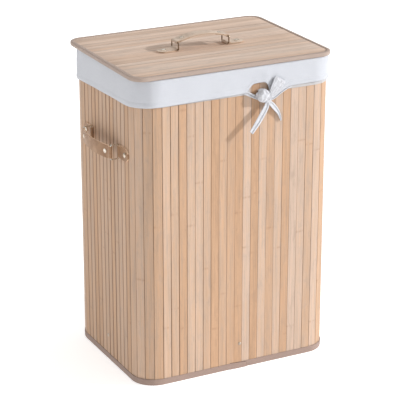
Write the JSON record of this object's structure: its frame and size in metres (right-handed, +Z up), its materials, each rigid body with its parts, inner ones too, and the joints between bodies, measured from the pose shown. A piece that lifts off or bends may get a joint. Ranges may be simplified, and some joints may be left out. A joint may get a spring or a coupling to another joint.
{
  "type": "laundry hamper with lid",
  "caption": "Upright bamboo-slat laundry hamper with a tied cloth liner, a loose lift-off lid and a swinging leather strap handle on the lid and on each end.",
  "frame": {"origin": "on the floor, under the middle of the wall's footprint", "axes": "+X right along the front, +Y from front to back, +Z up"},
  "size_m": [0.4584, 0.3129, 0.6236],
  "materials": {
    "bamboo": "natural bamboo slats, satin lacquer, tone changes from slat to slat",
    "lid_bamboo": "natural bamboo slats, satin lacquer, streaky",
    "backing_cloth": "plain non-woven cloth, matt",
    "binding_tape": "grey-brown edge tape, fine weave, slight sheen",
    "steel_wire": "bright zinc-plated wire",
    "clip_webbing": "thin folded imitation leather, matt",
    "fibreboard": "smooth brown fibreboard",
    "liner_cotton": "white polycotton, plain weave, matt",
    "ribbon_cotton": "white cotton tape, fine weave",
    "leather": "tan imitation leather, fine grain, painted edges",
    "ring_metal": "polished nickel-plated wire",
    "rivet_metal": "polished nickel-plated dome"
  },
  "bodies": {
    "hamper": {"front_slats": "bamboo", "right_slats": "bamboo", "back_slats": "bamboo", "left_slats": "bamboo", "front_right_corner_slats": "bamboo", "back_right_corner_slats": "bamboo", "back_left_corner_slats": "bamboo", "front_left_corner_slats": "bamboo", "backing_cloth": "backing_cloth", "top_binding": "binding_tape", "bottom_binding": "binding_tape", "lower_wire_frame": "steel_wire", "lower_wire_clips": "clip_webbing", "lower_clip_rivets": "rivet_metal", "upper_wire_frame": "steel_wire", "upper_wire_clips": "clip_webbing", "upper_clip_rivets": "rivet_metal", "base_board": "fibreboard", "left_handle_tab_rear": "leather", "left_handle_tab_front": "leather", "left_handle_tab_rivets": "rivet_metal", "left_handle_washers": "rivet_metal", "right_handle_tab_front": "leather", "right_handle_tab_rear": "leather", "right_handle_tab_rivets": "rivet_metal", "right_handle_washers": "rivet_metal"},
    "liner": {"liner_bottom": "liner_cotton", "liner_bag": "liner_cotton", "liner_fold": "liner_cotton", "liner_cuff": "liner_cotton", "drawstring": "ribbon_cotton", "bow_knot": "ribbon_cotton", "bow_loops": "ribbon_cotton", "bow_tails": "ribbon_cotton", "tie_ends": "ribbon_cotton"},
    "lid": {"lid_lining": "backing_cloth", "lid_board": "fibreboard", "lid_slats": "lid_bamboo", "lid_binding": "binding_tape", "lid_handle_tab_left": "leather", "lid_handle_tab_right": "leather", "lid_handle_tab_rivets": "rivet_metal", "lid_handle_washers": "rivet_metal"},
    "lid_handle_ring_left": {"lid_handle_ring_left": "ring_metal"},
    "lid_handle_ring_right": {"lid_handle_ring_right": "ring_metal"},
    "lid_handle_strap": {"lid_handle_strap": "leather", "lid_handle_strap_rivets": "rivet_metal"},
    "left_handle_ring_rear": {"left_handle_ring_rear": "ring_metal"},
    "left_handle_ring_front": {"left_handle_ring_front": "ring_metal"},
    "left_handle_strap": {"left_handle_strap": "leather", "left_handle_strap_rivets": "rivet_metal"},
    "right_handle_ring_front": {"right_handle_ring_front": "ring_metal"},
    "right_handle_ring_rear": {"right_handle_ring_rear": "ring_metal"},
    "right_handle_strap": {"right_handle_strap": "leather", "right_handle_strap_rivets": "rivet_metal"}
  },
  "joints": [
    {"name": "liner_lift", "type": "slide", "parent": "hamper", "child": "liner", "axis": [0, 0, 1], "range_m": [0, 0.56]},
    {"name": "lid_lift", "type": "slide", "parent": "liner", "child": "lid", "axis": [0, 0, 1], "range_m": [0, 0.25]},
    {"name": "lid_handle_swing", "type": "hinge", "parent": "lid", "child": "lid_handle_ring_left", "pos_m": [-0.059, -0.008, 0.5992], "axis": [0, 1, 0], "range_deg": [-65, 65]},
    {"name": "lid_handle_ring_right_turn", "type": "hinge", "parent": "lid", "child": "lid_handle_ring_right", "pos_m": [0.045, -0.008, 0.5992], "axis": [0, 1, 0], "range_deg": [-65, 65]},
    {"name": "lid_handle_strap_turn", "type": "hinge", "parent": "lid_handle_ring_left", "child": "lid_handle_strap", "pos_m": [-0.059, -0.008, 0.6132], "axis": [0, 1, 0], "range_deg": [-65, 65]},
    {"name": "left_handle_swing", "type": "hinge", "parent": "hamper", "child": "left_handle_ring_rear", "pos_m": [-0.2028, 0.052, 0.441], "axis": [0, 0, 1], "range_deg": [-65, 65]},
    {"name": "left_handle_ring_front_turn", "type": "hinge", "parent": "hamper", "child": "left_handle_ring_front", "pos_m": [-0.2028, -0.068, 0.441], "axis": [0, 0, 1], "range_deg": [-65, 65]},
    {"name": "left_handle_strap_turn", "type": "hinge", "parent": "left_handle_ring_rear", "child": "left_handle_strap", "pos_m": [-0.2188, 0.052, 0.441], "axis": [0, 0, 1], "range_deg": [-65, 65]},
    {"name": "right_handle_swing", "type": "hinge", "parent": "hamper", "child": "right_handle_ring_front", "pos_m": [0.2028, -0.068, 0.441], "axis": [0, 0, 1], "range_deg": [-65, 65]},
    {"name": "right_handle_ring_rear_turn", "type": "hinge", "parent": "hamper", "child": "right_handle_ring_rear", "pos_m": [0.2028, 0.052, 0.441], "axis": [0, 0, 1], "range_deg": [-65, 65]},
    {"name": "right_handle_strap_turn", "type": "hinge", "parent": "right_handle_ring_front", "child": "right_handle_strap", "pos_m": [0.2188, -0.068, 0.441], "axis": [0, 0, 1], "range_deg": [-65, 65]}
  ],
  "couplings": [
    {"joint": "lid_handle_ring_right_turn", "follows": "lid_handle_swing", "ratio": 1},
    {"joint": "lid_handle_strap_turn", "follows": "lid_handle_swing", "ratio": -1},
    {"joint": "left_handle_ring_front_turn", "follows": "left_handle_swing", "ratio": 1},
    {"joint": "left_handle_strap_turn", "follows": "left_handle_swing", "ratio": -1},
    {"joint": "right_handle_ring_rear_turn", "follows": "right_handle_swing", "ratio": 1},
    {"joint": "right_handle_strap_turn", "follows": "right_handle_swing", "ratio": -1}
  ]
}
